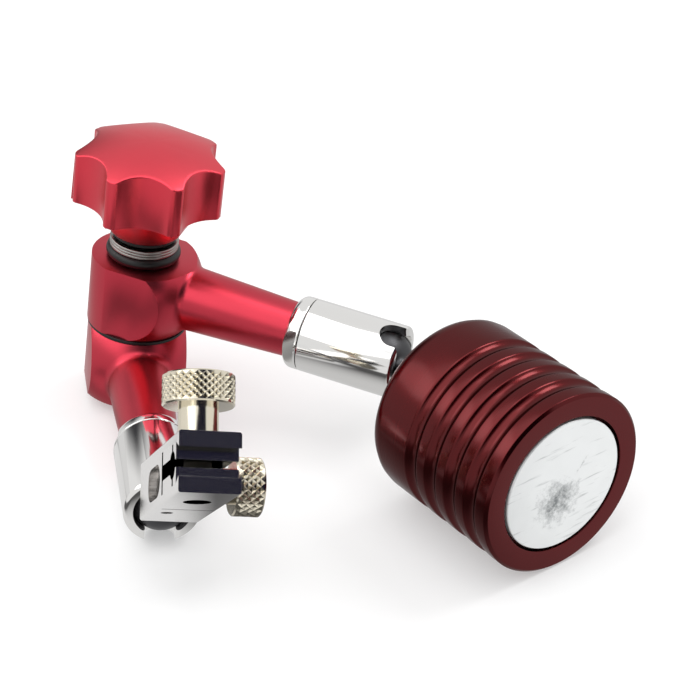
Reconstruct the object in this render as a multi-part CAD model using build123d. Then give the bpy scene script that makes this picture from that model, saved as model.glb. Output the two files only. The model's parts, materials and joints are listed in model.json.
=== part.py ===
from build123d import *
import math
import os

# Articulated indicator stand: a cylindrical magnet base, two arms with ball sockets, a central locking
# knob at the elbow, and a split clamp block. Millimetres, +Z up. The origin is the centre of the magnet
# face, +X is the outward normal of that face, and the stand lies on the plane z = -base_diameter / 2.

# ---------------------------------------------------------------- magnet base
base_diameter = 30.0
base_length = 29.0
base_back_fillet = 3.5
base_front_chamfer = 0.45
groove_width = 2.6
groove_depth = 0.65
groove_first = 3.9
groove_pitch = 4.6
groove_count = 4
disc_diameter = 21.8
disc_thickness = 3.0
disc_edge_chamfer = 0.3
disc_gap = 0.45
core_length = 15.0
core_diameter = 20.0
core_fit = 0.05
cutter_run = 1.0

# ---------------------------------------------------------------- ball studs
ball_diameter = 9.5
neck_diameter = 3.4
neck_root_radius = 1.2
base_neck_length = 15.2
base_shank_diameter = 5.0
base_shank_length = 6.5
clamp_neck_length = 7.1
clamp_shank_diameter = 4.0
clamp_shank_length = 6.0
stud_fit = 0.03

# ---------------------------------------------------------------- sockets
socket_diameter = 12.2
socket_mouth = 3.2
socket_mouth_bore = 8.7
socket_edge_radius = 0.7
socket_length = 16.3
socket_seat_clearance = 0.05
socket_bore_clearance = 0.15
socket_bore_depth = 7.6
slot_width = 4.8
slot_depth = 4.0
slot_flare = 0.8
collar_length = 2.6
collar_gap = 0.12
collar_round = 1.4
spigot_diameter = 8.0
spigot_fit = 0.04
retainer_diameter = 9.0
retainer_thickness = 1.2
retainer_play = 0.1
spigot_step = 0.8
socket_edge_chamfer = 0.15
pad_diameter = 9.2
pad_start = 2.5
pad_length = 2.9
pad_clearance = 0.05
upper_slot_turn = -15.0
lower_slot_turn = 0.0

# ---------------------------------------------------------------- arms and elbow
upper_arm_length = 43.7
lower_arm_length = 42.25
arm_root_overlap = 1.0
arm_root_fillet = 2.0
arm_neck_radius = 4.62
arm_taper = 0.044
head_sphere_radius = 10.6
head_radius = 8.5
head_half_width = 8.0
head_above = 5.5
head_below = 6.7
joint_washer_diameter = 16.8
joint_washer_thickness = 0.6
joint_washer_gap = 0.01
washer_clearance = 0.4
spindle_diameter = 5.0
spindle_fit = 0.05
spindle_edge = 0.4
spindle_grip = 5.5
cone_diameter = 8.0
cone_fit = 0.05
cone_half_angle = 30.0
cone_radius_at_rod = 3.25
cone_bore_past_rod = 1.5
cone_inset = 1.2
thrust_tip_wall = 0.3
thrust_shoulder_drop = 0.5
thrust_neck_radius = 3.45
thrust_neck_rise = 2.0
rod_diameter = 3.0
rod_fit = 0.05
rod_end_gap = 0.05
rod_nose_gap = 0.65

# ---------------------------------------------------------------- star knob and washers
knob_lobes = 7
knob_tip_round = 0.6
knob_tip_radius = 12.35
knob_valley_radius = 9.85
knob_flute_radius = 6.9
knob_height = 8.4
knob_top_edge = 0.3
knob_under_edge = 0.8
knob_dome = 2.6
knob_hub_top_radius = 8.7
knob_hub_radius = 6.0
knob_hub_height = 5.2
knob_hub_edge = 0.3
knob_washer_gap = 0.47
knob_phase = -19.0
knob_washer_radius = 5.3
knob_washer_thickness = 0.78
insert_diameter = 8.0
insert_cap = 0.6
insert_end_gap = 0.4
spring_washer_outer = 5.7
spring_washer_edge = 0.12
spring_washer_thickness = 0.45
spring_washer_count = 3
spring_washer_gap = 0.05
oring_section_radius = 1.0
oring_neck_gap = 0.75
oring_seat_gap = 0.02

# ---------------------------------------------------------------- clamp block
block_width = 9.0
block_height = 8.8
block_length = 28.6
block_edge = 0.35
dovetail_mouth = 4.2
dovetail_floor = 6.0
dovetail_depth = 1.9
stem_bore_diameter = 4.0
stem_bore_depth = 4.3
stem_kerf_width = 0.9
stem_kerf_height = 5.9
jaw_slit = 1.15
screw_slot = 2.2
relief_height = 6.2
relief_width = 0.9
relief_depth = 11.6
clamp_screw_depth = 8.5
clamp_screw_thread = 4.0
clamp_screw_clearance = 0.1
clamp_screw_seat = 0.03
clamp_screw_inset = 1.4
clamp_screw_edge = 0.4
clamp_head_diameter = 10.6
clamp_head_height = 4.6
clamp_head_rise = 5.0
clamp_head_edge = 0.6
clamp_shank_radius = 2.95
under_slit_depth = 16.2
under_slit_width = 0.35
under_slit_height = 1.2
under_slit_inset = 0.9
window_depth = 17.8
window_drop = 0.5
window_length = 9.0
window_height = 4.9
window_recess = 2.0
peg_hole_diameter = 1.8
peg_hole_depth = 19.9
peg_hole_side = -2.1
peg_hole_reach = 1.2
side_screw_depth = 20.3
side_screw_diameter = 3.6
side_screw_clearance = 0.08
side_screw_end_recess = 0.5
side_head_diameter = 8.9
side_head_height = 4.3
side_head_gap = 3.2
side_head_edge = 0.55
side_collar_gap = 0.6
side_collar_diameter = 5.4

# ---------------------------------------------------------------- pose of the links
arm_bearing = 212.66
arm_rise = 7.195
knob_axis_roll = 3.546
elbow_angle = -58.85
stud_tilt = 44.7
stud_side = 3.5
block_roll = 2.0


def unit(v):
    return v * (1.0 / v.length)


def spin(v, axis, degrees):
    a = math.radians(degrees)
    return v * math.cos(a) + axis.cross(v) * math.sin(a) + axis * (axis.dot(v) * (1 - math.cos(a)))


def turned(points):
    # a closed profile of (radius, height) pairs turned about the local Z axis
    wire = Polyline([(r, 0, z) for r, z in points], close=True)
    return revolve(make_face(wire), Axis.Z, 360)


def rod(radius, z0, z1):
    return Pos(0, 0, z0) * Cylinder(radius, z1 - z0, align=(Align.CENTER, Align.CENTER, Align.MIN))


def edges_at(shape, radius, height, tol=0.02):
    # full circles of one radius at one height about the local Z axis
    found = []
    for e in shape.edges().filter_by(GeomType.CIRCLE):
        c = e.arc_center
        if abs(e.radius - radius) < tol and abs(c.Z - height) < tol and abs(c.X) + abs(c.Y) < tol:
            found.append(e)
    return found


# ---------------------------------------------------------------- frames of the links
cone_slope = math.tan(math.radians(cone_half_angle))
base_radius = base_diameter / 2
ball_radius = ball_diameter / 2
neck_radius = neck_diameter / 2
socket_radius = socket_diameter / 2
ball_centre = Vector(-(base_length + base_neck_length), 0, 0)
bearing = math.radians(arm_bearing)
rise = math.radians(arm_rise)
upper_dir = Vector(math.cos(rise) * math.cos(bearing), math.cos(rise) * math.sin(bearing), math.sin(rise))
level = Vector(0, 0, 1) - upper_dir * upper_dir.Z
knob_dir = unit(spin(unit(level), upper_dir, knob_axis_roll))
elbow_upper = ball_centre + upper_dir * upper_arm_length
joint_centre = elbow_upper - knob_dir * (head_below + joint_washer_thickness / 2)
elbow_lower = joint_centre - knob_dir * (head_below + joint_washer_thickness / 2)
lower_dir = spin(upper_dir * -1, knob_dir, elbow_angle)
clamp_centre = elbow_lower + lower_dir * lower_arm_length
slot_side = unit(knob_dir.cross(lower_dir))
tilted = lower_dir * math.cos(math.radians(stud_tilt)) + knob_dir * math.sin(math.radians(stud_tilt))
clamp_dir = unit(tilted * math.cos(math.radians(stud_side)) + slot_side * math.sin(math.radians(stud_side)))
block_side = unit(slot_side - clamp_dir * slot_side.dot(clamp_dir))
block_side = spin(block_side, clamp_dir, -block_roll)

base_frame = Plane(origin=(0, 0, 0), x_dir=(0, 1, 0), z_dir=(1, 0, 0)).location
upper_frame = Plane(origin=ball_centre, x_dir=knob_dir, z_dir=upper_dir).location
lower_frame = Plane(origin=clamp_centre, x_dir=knob_dir * -1, z_dir=lower_dir * -1).location
elbow_frame = Plane(origin=joint_centre, x_dir=upper_dir, z_dir=knob_dir).location
clamp_frame = Plane(origin=clamp_centre, x_dir=block_side, z_dir=clamp_dir).location

nodes = {}


# ---------------------------------------------------------------- magnet base
def magnet_shell():
    r = base_radius
    body = rod(r, -base_length, 0)
    body = fillet(edges_at(body, r, -base_length), base_back_fillet)
    body = chamfer(edges_at(body, r, 0), base_front_chamfer)
    groove_radius = (groove_width**2 / 4 + groove_depth**2) / (2 * groove_depth)
    for i in range(groove_count):
        z = -(groove_first + i * groove_pitch)
        body -= Pos(0, 0, z) * Torus(r + groove_radius - groove_depth, groove_radius)
    body -= rod(disc_diameter / 2 + disc_gap, -disc_thickness, cutter_run)
    body -= rod(core_diameter / 2 + core_fit, -(disc_thickness + core_length), cutter_run)
    socket_end = -(base_length - base_shank_length)
    body -= rod(base_shank_diameter / 2 + stud_fit, -base_length - cutter_run, socket_end)
    return body


def pole_disc():
    body = rod(disc_diameter / 2, -disc_thickness, 0)
    return chamfer(edges_at(body, disc_diameter / 2, 0), disc_edge_chamfer)


def magnet_core():
    return rod(core_diameter / 2, -(disc_thickness + core_length), -disc_thickness)


def ball_stud(neck_length, shank_diameter, shank_length):
    # ball centre at the origin, neck along +Z, shank past the neck
    body = Sphere(ball_radius) + rod(neck_radius, 0, neck_length)
    ring = [e for e in body.edges().filter_by(GeomType.CIRCLE) if abs(e.radius - neck_radius) < 0.02]
    low = min(ring, key=lambda e: abs(e.arc_center.Z))
    body = fillet([low], neck_root_radius)
    body += rod(shank_diameter / 2, neck_length, neck_length + shank_length - stud_fit)
    return body


nodes["magnet_shell"] = base_frame * magnet_shell()
nodes["pole_disc"] = base_frame * pole_disc()
nodes["magnet_core"] = base_frame * magnet_core()
stud_frame = Plane(origin=ball_centre, x_dir=(0, 1, 0), z_dir=(1, 0, 0)).location
nodes["base_ball_stud"] = stud_frame * ball_stud(base_neck_length, base_shank_diameter, base_shank_length)


# ---------------------------------------------------------------- sockets, in the frame of their arm
ring_height = socket_length - socket_mouth
retainer_low = socket_bore_depth - retainer_thickness - retainer_play
spigot_end_radius = spigot_diameter / 2 - spigot_step
bore_radius = ball_radius + socket_bore_clearance
seat_radius = ball_radius + socket_seat_clearance
mouth_radius = socket_mouth_bore / 2


def socket(slot_turn):
    body = rod(socket_radius, -socket_mouth, ring_height)
    body = fillet(edges_at(body, socket_radius, -socket_mouth), socket_edge_radius)
    body = chamfer(edges_at(body, socket_radius, ring_height), socket_edge_chamfer)
    body -= Sphere(seat_radius)
    body -= rod(bore_radius, 0, socket_bore_depth)
    body -= rod(mouth_radius, -socket_mouth - cutter_run, 0)
    body -= rod(spigot_diameter / 2 + spigot_fit, 0, ring_height + cutter_run)
    # two opposite slots let the neck swing to the side
    half = slot_width / 2
    top = slot_depth - socket_mouth
    low = -socket_mouth - cutter_run
    cutter = Pos(0, 0, (top - half + low) / 2) * Box(2 * socket_diameter, slot_width, top - half - low)
    cutter += Pos(0, 0, top - half) * Rot(0, 90, 0) * Cylinder(half, 2 * socket_diameter)
    flare = Pos(0, 0, -socket_mouth + (slot_flare - cutter_run) / 2) * Box(
        2 * socket_diameter, slot_width + 2 * slot_flare, slot_flare + cutter_run
    )
    for s in (-1, 1):
        flare -= Pos(0, s * (half + slot_flare), -socket_mouth + slot_flare) * Rot(0, 90, 0) * Cylinder(
            slot_flare, 3 * socket_diameter
        )
    body -= Rot(0, 0, slot_turn) * (cutter + flare)
    return body


def collar():
    z0 = ring_height + collar_gap
    z1 = z0 + collar_length
    bore = rod(spigot_diameter / 2 + spigot_fit, z0 - cutter_run, z1 + cutter_run)
    body = rod(socket_radius, z0, z1) - bore
    body = fillet(edges_at(body, socket_radius, z1), collar_round)
    return chamfer(edges_at(body, socket_radius, z0), socket_edge_chamfer)


def retainer():
    # the nut on the end of the spigot that holds the socket on its arm
    top = retainer_low + retainer_thickness
    body = rod(retainer_diameter / 2, retainer_low, top)
    return body - rod(spigot_end_radius + spigot_fit, retainer_low - cutter_run, top + cutter_run)


def pressure_pad():
    body = rod(pad_diameter / 2, pad_start, pad_start + pad_length)
    return body - Sphere(ball_radius + pad_clearance)


def arm(length):
    # along +Z from the ball centre to the elbow; the cone bore opens on the +X side of the head
    collar_top = ring_height + collar_gap + collar_length
    root = length - head_sphere_radius + arm_root_overlap
    root_radius = arm_neck_radius + arm_taper * (root - collar_top)
    shank = turned(
        [(0, collar_top), (arm_neck_radius, collar_top), (root_radius, root), (root_radius, length)]
        + [(0, length)]
    )
    centre = Pos(0, 0, length)
    reach = 2 * head_sphere_radius
    half = Box(2 * reach, 2 * reach, reach)
    near = centre * (Sphere(head_sphere_radius) & (Pos(0, 0, -reach / 2) * half)) + shank
    junction = length - math.sqrt(head_sphere_radius**2 - root_radius**2)
    near = fillet(edges_at(near, root_radius, junction), arm_root_fillet)
    eye = Rot(0, 90, 0) * Cylinder(head_radius, 2 * reach)
    body = near + centre * (eye & (Pos(0, 0, reach / 2) * half))
    # the head is flat above, below and on both flanks
    level = Box(reach, 2 * reach, 2 * reach)
    body -= centre * Pos(head_above + reach / 2, 0, 0) * level
    body -= centre * Pos(-head_below - reach / 2, 0, 0) * level
    for s in (-1, 1):
        body -= centre * Pos(0, s * (head_half_width + reach / 2), 0) * Rot(0, 0, 90) * level
    body += rod(spigot_diameter / 2, retainer_low + retainer_thickness, collar_top + arm_root_overlap)
    body += rod(spigot_end_radius, retainer_low, collar_top)
    # push-rod bore along the arm, spindle bore across the head, cone bore from the outer side of the head
    body -= rod(rod_diameter / 2 + rod_fit, 0, length)
    across = Pos(0, 0, length) * Rot(0, 90, 0)
    body -= across * rod(spindle_diameter / 2 + spindle_fit, -4 * head_below, 4 * head_above)
    body -= across * rod(cone_diameter / 2 + cone_fit, -cone_bore_past_rod, 4 * head_above)
    return body


def push_rod(length):
    # the inner end is cut to the slope of the cone that drives it, and blunted to clear the spindle
    slope = cone_slope
    end = length - cone_radius_at_rod - rod_end_gap / math.cos(math.radians(cone_half_angle))
    r = rod_diameter / 2
    body = rod(r, pad_start + pad_length, length - spindle_diameter / 2 - rod_nose_gap)
    wedge = Polyline(
        [(-2 * r, 0, end + 2 * r * slope), (2 * r, 0, end - 2 * r * slope), (2 * r, 0, end + 4 * r)]
        + [(-2 * r, 0, end + 4 * r)],
        close=True,
    )
    return body - extrude(make_face(wedge), amount=2 * r, dir=(0, 1, 0), both=True)


for name, frame, length, turn in (
    ("upper", upper_frame, upper_arm_length, upper_slot_turn),
    ("lower", lower_frame, lower_arm_length, lower_slot_turn),
):
    nodes[name + "_arm"] = frame * arm(length)
    nodes[name + "_socket"] = frame * socket(turn)
    nodes[name + "_collar"] = frame * collar()
    nodes[name + "_retainer"] = frame * retainer()
    nodes[name + "_pressure_pad"] = frame * pressure_pad()
    nodes[name + "_push_rod"] = frame * push_rod(length)


# ---------------------------------------------------------------- elbow, +Z along the knob axis
half_joint = joint_washer_thickness / 2
rod_level = half_joint + head_below
head_top = rod_level + head_above
cone_rise = (cone_diameter / 2 - cone_radius_at_rod) / cone_slope
washers_low = head_top + thrust_neck_rise + spring_washer_gap
washer_step = spring_washer_thickness + spring_washer_gap
knob_washer_low = head_top + thrust_neck_rise + spring_washer_count * washer_step + knob_washer_gap
knob_hub_bottom = knob_washer_low + knob_washer_thickness
knob_underside = knob_hub_bottom + knob_hub_height
knob_rim = knob_underside + knob_height
knob_top = knob_rim + knob_dome
spindle_top = knob_underside + spindle_grip
insert_top = spindle_top + insert_end_gap + insert_cap


def spindle():
    r = spindle_diameter / 2
    cone = cone_diameter / 2
    low = -head_top + cone_inset
    drop = (cone_radius_at_rod - r) / cone_slope
    edge = spindle_edge
    return turned(
        [(0, low), (cone - edge, low), (cone, low + edge), (cone, -rod_level - cone_rise)]
        + [(r, -rod_level + drop), (r, spindle_top - edge), (r - edge, spindle_top), (0, spindle_top)]
    )


def thrust_sleeve():
    bore = spindle_diameter / 2 + spindle_fit
    tip = bore + thrust_tip_wall
    low = rod_level - (cone_radius_at_rod - tip) / cone_slope
    shoulder = head_top - thrust_shoulder_drop
    return turned(
        [(bore, low), (tip, low), (cone_diameter / 2, rod_level + cone_rise), (cone_diameter / 2, shoulder)]
        + [(thrust_neck_radius, shoulder), (thrust_neck_radius, head_top + thrust_neck_rise)]
        + [(bore, head_top + thrust_neck_rise)]
    )


def joint_washer():
    r = joint_washer_diameter / 2
    body = rod(r, joint_washer_gap - half_joint, half_joint - joint_washer_gap)
    return body - rod(spindle_diameter / 2 + washer_clearance, -half_joint, half_joint)


def spring_washers():
    found = []
    for i in range(spring_washer_count):
        z = washers_low + i * washer_step
        top = z + spring_washer_thickness
        ring = rod(spring_washer_outer, z, top) - rod(spindle_diameter / 2 + washer_clearance, z, top)
        found.append(chamfer(edges_at(ring, spring_washer_outer, top), spring_washer_edge))
    return found


def knob_washer():
    top = knob_hub_bottom
    body = rod(knob_washer_radius, knob_washer_low, top)
    return body - rod(spindle_diameter / 2 + washer_clearance, knob_washer_low, top)


def star_outline():
    body = Circle(knob_tip_radius)
    step = 360 / knob_lobes
    for i in range(knob_lobes):
        a = math.radians(knob_phase + (i + 0.5) * step)
        far = knob_valley_radius + knob_flute_radius
        body -= Pos(far * math.cos(a), far * math.sin(a)) * Circle(knob_flute_radius)
    return fillet(body.vertices(), knob_tip_round)


def star_knob():
    body = Pos(0, 0, knob_underside) * extrude(star_outline(), amount=knob_top - knob_underside)
    # a large ball domes the top, and the crown bevels both rims of the lobes
    dome_radius = (knob_tip_radius**2 + knob_dome**2) / (2 * knob_dome)
    body = body & (Pos(0, 0, knob_top - dome_radius) * Sphere(dome_radius))
    under = knob_tip_radius - knob_under_edge
    over = knob_tip_radius - knob_top_edge
    low = knob_underside + 2 * knob_under_edge
    crown = turned(
        [(0, knob_underside), (under, knob_underside), (under + 2 * knob_under_edge, low)]
        + [(over + 2 * knob_top_edge, knob_rim - 2 * knob_top_edge), (over, knob_rim)]
        + [(over, knob_top), (0, knob_top)]
    )
    join = knob_underside + knob_hub_edge
    hub = turned(
        [(0, knob_hub_bottom), (knob_hub_radius - knob_hub_edge, knob_hub_bottom)]
        + [(knob_hub_radius, knob_hub_bottom + knob_hub_edge), (knob_hub_top_radius, join), (0, join)]
    )
    body = (body & crown) + hub
    return body - rod(insert_diameter / 2, knob_hub_bottom - cutter_run, insert_top)


def knob_insert():
    body = rod(insert_diameter / 2, knob_hub_bottom, insert_top)
    end = spindle_top + insert_end_gap
    return body - rod(spindle_diameter / 2 + spindle_fit, knob_hub_bottom - cutter_run, end)


def o_ring():
    r = oring_section_radius
    return Pos(0, 0, head_top + r + oring_seat_gap) * Torus(thrust_neck_radius + oring_neck_gap + r, r)


nodes["elbow_spindle"] = elbow_frame * spindle()
nodes["thrust_sleeve"] = elbow_frame * thrust_sleeve()
nodes["elbow_washer"] = elbow_frame * joint_washer()
nodes["spring_washers"] = Compound(children=[elbow_frame * w for w in spring_washers()])
nodes["o_ring"] = elbow_frame * o_ring()
nodes["star_knob"] = elbow_frame * star_knob()
nodes["knob_washer"] = elbow_frame * knob_washer()
nodes["knob_insert"] = elbow_frame * knob_insert()


# ---------------------------------------------------------------- clamp, +Z from the ball to the front face
block_back = clamp_neck_length
block_front = block_back + block_length
half_width = block_width / 2
half_height = block_height / 2


def across(radius, depth, level=0.0):
    # a cylinder along the local X axis at a depth behind the front face
    return Pos(0, level, block_front - depth) * Rot(0, 90, 0) * Cylinder(radius, 3 * block_width)


def upright(radius, depth, low, high):
    # a cylinder along the local Y axis
    body = Cylinder(radius, high - low)
    return Pos(0, (low + high) / 2, block_front - depth) * Rot(90, 0, 0) * body


def clamp_block():
    body = Pos(0, 0, (block_back + block_front) / 2) * Box(block_width, block_height, block_length)
    body = fillet(body.edges().filter_by(Axis.Z), block_edge)
    # dovetail across the front face
    mouth = dovetail_mouth / 2
    floor = dovetail_floor / 2
    profile = Polyline(
        [(0, -mouth, block_front), (0, mouth, block_front)]
        + [(0, floor, block_front - dovetail_depth), (0, -floor, block_front - dovetail_depth)],
        close=True,
    )
    body -= extrude(make_face(profile), amount=block_width, dir=(1, 0, 0), both=True)
    # stem bore with its kerfs, jaw slit, screw slot and relief
    body -= across(stem_bore_diameter / 2, stem_bore_depth)
    kerf = Box(3 * block_width, stem_kerf_height, stem_kerf_width)
    body -= Pos(0, 0, block_front - stem_bore_depth) * kerf
    slit = stem_bore_depth
    body -= Pos(0, 0, block_front - slit / 2) * Box(3 * block_width, jaw_slit, slit)
    reach = relief_depth - stem_bore_depth
    body -= Pos(0, 0, block_front - stem_bore_depth - reach / 2) * Box(3 * block_width, screw_slot, reach)
    body -= Pos(0, 0, block_front - relief_depth) * Box(3 * block_width, relief_height, relief_width)
    # clamp screw: clearance through the upper jaw, thread through the lower jaw
    thread = clamp_screw_thread / 2
    body -= upright(thread + clamp_screw_clearance, clamp_screw_depth, 0, block_height)
    body -= upright(thread + stud_fit, clamp_screw_depth, -block_height, 0)
    # narrow slit and a small peg hole in the underside
    slit_box = Box(
        block_width, under_slit_height, under_slit_width, align=(Align.MIN, Align.MIN, Align.CENTER)
    )
    body -= Pos(under_slit_inset - half_width, -half_height, block_front - under_slit_depth) * slit_box
    peg = Pos(peg_hole_side, 0, 0)
    body -= peg * upright(peg_hole_diameter / 2, peg_hole_depth, -half_height, peg_hole_reach - half_height)
    # window in the left side
    run = (window_length - window_height) / 2
    centre = Pos(-half_width, -window_drop, block_front - window_depth)
    body -= centre * Box(2 * window_recess, window_height, 2 * run)
    for s in (-1, 1):
        body -= centre * Pos(0, 0, s * run) * Rot(0, 90, 0) * Cylinder(window_height / 2, 2 * window_recess)
    # side screw thread and stud socket
    side = side_screw_diameter / 2 + side_screw_clearance
    body -= Pos(0, 0, block_front - side_screw_depth) * Rot(0, 90, 0) * rod(side, -half_width, block_width)
    body -= rod(clamp_shank_diameter / 2 + stud_fit, 0, block_back + clamp_shank_length)
    return body


def thumb_screw(thread, tip, seat, shank, head_low, head_radius, head_height, head_edge):
    # thread from the tip to the seat, a plain shank up to the head, then the knurled head
    head_top = head_low + head_height
    profile = [(0, tip), (thread - clamp_screw_edge, tip), (thread, tip + clamp_screw_edge), (thread, seat)]
    profile += [(shank, seat), (shank, head_low), (head_radius - head_edge, head_low)]
    profile += [(head_radius, head_low + head_edge), (head_radius, head_top - head_edge)]
    profile += [(head_radius - head_edge, head_top), (0, head_top)]
    return turned(profile)


def clamp_screw():
    body = thumb_screw(
        thread=clamp_screw_thread / 2,
        tip=clamp_screw_inset - half_height,
        seat=half_height + clamp_screw_seat,
        shank=clamp_shank_radius,
        head_low=half_height + clamp_head_rise,
        head_radius=clamp_head_diameter / 2,
        head_height=clamp_head_height,
        head_edge=clamp_head_edge,
    )
    return Pos(0, 0, block_front - clamp_screw_depth) * Rot(-90, 0, 0) * body


def side_screw():
    body = thumb_screw(
        thread=side_screw_diameter / 2,
        tip=window_recess + side_screw_end_recess - half_width,
        seat=half_width + side_collar_gap,
        shank=side_collar_diameter / 2,
        head_low=half_width + side_head_gap,
        head_radius=side_head_diameter / 2,
        head_height=side_head_height,
        head_edge=side_head_edge,
    )
    return Pos(0, 0, block_front - side_screw_depth) * Rot(0, 90, 0) * body


clamp_stud = ball_stud(clamp_neck_length, clamp_shank_diameter, clamp_shank_length)
nodes["clamp_ball_stud"] = clamp_frame * clamp_stud
nodes["clamp_block"] = clamp_frame * clamp_block()
nodes["clamp_screw"] = clamp_frame * clamp_screw()
nodes["side_screw"] = clamp_frame * side_screw()

os.makedirs("parts", exist_ok=True)
for name, shape in nodes.items():
    export_step(shape, "parts/" + name + ".step")
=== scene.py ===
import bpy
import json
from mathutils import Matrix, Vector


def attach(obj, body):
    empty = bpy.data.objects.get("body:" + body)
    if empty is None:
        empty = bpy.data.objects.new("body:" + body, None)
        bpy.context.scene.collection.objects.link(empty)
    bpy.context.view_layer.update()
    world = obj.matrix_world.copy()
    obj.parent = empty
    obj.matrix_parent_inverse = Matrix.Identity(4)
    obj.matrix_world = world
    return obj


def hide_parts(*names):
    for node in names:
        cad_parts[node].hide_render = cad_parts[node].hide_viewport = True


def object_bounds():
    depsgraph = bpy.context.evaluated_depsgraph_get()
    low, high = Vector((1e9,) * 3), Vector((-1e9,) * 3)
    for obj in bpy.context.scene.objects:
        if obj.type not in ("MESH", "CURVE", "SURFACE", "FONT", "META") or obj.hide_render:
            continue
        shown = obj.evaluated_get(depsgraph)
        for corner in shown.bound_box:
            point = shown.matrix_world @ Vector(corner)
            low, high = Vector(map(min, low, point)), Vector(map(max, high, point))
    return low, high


bl_info = {
    "name": "Indicator stand finish",
    "version": (1, 0, 0),
    "blender": (4, 5, 0),
    "location": "3D View > Sidebar > Stand",
    "description": "Models the visible pieces of an articulated indicator stand over its packed frame",
    "category": "Object",
}

import json
import math

import bmesh
import bpy
from bpy.props import FloatProperty, FloatVectorProperty, IntProperty, PointerProperty
from bpy.types import Operator, Panel, PropertyGroup
from mathutils import Matrix, Vector

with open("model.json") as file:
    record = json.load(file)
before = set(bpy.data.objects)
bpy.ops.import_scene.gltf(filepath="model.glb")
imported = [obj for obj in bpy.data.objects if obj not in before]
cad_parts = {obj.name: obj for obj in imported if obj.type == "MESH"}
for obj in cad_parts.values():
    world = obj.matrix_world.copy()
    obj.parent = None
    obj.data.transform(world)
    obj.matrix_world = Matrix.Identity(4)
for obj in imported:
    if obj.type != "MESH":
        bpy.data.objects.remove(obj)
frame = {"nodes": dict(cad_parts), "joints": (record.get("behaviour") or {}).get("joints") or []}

MM = 0.001
TURN_STEPS = 128
WELD = 1e-7  # metres within which vertices merge
NEAR = 1e-6  # metres within which two places count as one
FLOOR_WIDTH = 4
LAMP_DISTANCE = 0.5
CAD_BOX = [list(corner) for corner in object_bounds()]
JOINTS = {joint["name"]: joint for joint in frame["joints"]}


# ---- frames of the links
def joint_axis(name):
    return Vector(JOINTS[name]["axis"]).normalized()


def joint_point(name):
    return Vector(JOINTS[name]["pos_m"])


def axes_at(origin, along, side):
    """A local frame at origin, with +Z along one direction and +X towards another."""
    z = along.normalized()
    x = (side - z * side.dot(z)).normalized()
    local = Matrix((x, z.cross(x), z)).transposed().to_4x4()
    local.translation = origin
    return local


KNOB_AXIS = joint_axis("knob_turn")
BASE = axes_at(Vector(), joint_axis("base_spin"), Vector((0, 1, 0)))
STUD = axes_at(joint_point("upper_turn"), joint_axis("base_spin"), Vector((0, 1, 0)))
UPPER = axes_at(joint_point("upper_turn"), joint_axis("upper_turn"), KNOB_AXIS)
LOWER = axes_at(joint_point("lower_turn"), -joint_axis("lower_turn"), -KNOB_AXIS)
ELBOW = axes_at(joint_point("knob_turn"), KNOB_AXIS, joint_axis("upper_turn"))
CLAMP = axes_at(joint_point("clamp_spin"), joint_axis("clamp_spin"), joint_axis("side_screw_turn"))
CLAMP_SCREW = axes_at(joint_point("clamp_screw_turn"), joint_axis("clamp_screw_turn"), joint_axis("clamp_spin"))
SIDE_SCREW = axes_at(joint_point("side_screw_turn"), joint_axis("side_screw_turn"), joint_axis("clamp_spin"))


def measure(node, local):
    """Lowest and highest corner of a CAD node along the axes of a local frame."""
    inverse = local.inverted()
    points = [inverse @ vertex.co for vertex in frame["nodes"][node].data.vertices]
    low = Vector([min(p[i] for p in points) for i in range(3)])
    high = Vector([max(p[i] for p in points) for i in range(3)])
    return low, high


# ---- sizes and colours
def linear(text):
    """The linear colour of an sRGB hex value."""
    channels = [int(text[i:i + 2], 16) / 255 for i in (1, 3, 5)]
    return [c / 12.92 if c <= 0.04045 else ((c + 0.055) / 1.055) ** 2.4 for c in channels]


def length(name, millimetres, description):
    return FloatProperty(
        name=name, description=description, default=millimetres * MM, unit="LENGTH", precision=5
    )


def angle(name, degrees, description):
    return FloatProperty(name=name, description=description, default=math.radians(degrees), unit="ROTATION")


def colour(name, text, description):
    return FloatVectorProperty(
        name=name, description=description, default=linear(text), subtype="COLOR", size=3, min=0, max=1
    )


class BaseSizes(PropertyGroup):
    front_chamfer: length("Front chamfer", 0.45, "Bevel round the magnet face")
    back_round: length("Back round", 3.5, "Radius of the rounded back edge")
    groove_width: length("Groove width", 2.6, "Width of each finger groove")
    groove_depth: length("Groove depth", 0.65, "Depth of each finger groove")
    groove_first: length("First groove", 3.9, "From the magnet face to the middle of the first groove")
    groove_pitch: length("Groove pitch", 4.6, "From one groove to the next")
    groove_lip: length("Groove lip", 0.55, "Radius of the soft lip at each side of a groove")
    groove_count: IntProperty(name="Grooves", description="How many grooves go round the body", default=4)
    disc_gap: length("Disc gap", 0.45, "Open ring between the pole disc and the body")
    disc_round: length("Disc edge", 0.25, "Radius of the pole disc's edge")
    stud_bore: length("Stud bore", 2.53, "Radius of the bore that the stud is screwed into")
    stud_depth: length("Stud depth", 6.5, "Depth of that bore")
    core_fit: length("Core fit", 0.05, "Play round the magnet")


class StudSizes(PropertyGroup):
    neck_radius: length("Neck radius", 1.7, "Radius of the neck behind each ball")
    root_round: length("Root round", 1.2, "Radius of the cove between ball and neck")
    base_shank: length("Base stud shank", 2.5, "Radius of the part inside the base")
    base_neck: length("Base stud neck", 15.2, "From the ball's centre to the base")
    clamp_shank: length("Clamp stud shank", 2.0, "Radius of the part inside the clamp block")
    clamp_neck: length("Clamp stud neck", 7.1, "From the ball's centre to the block")


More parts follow.
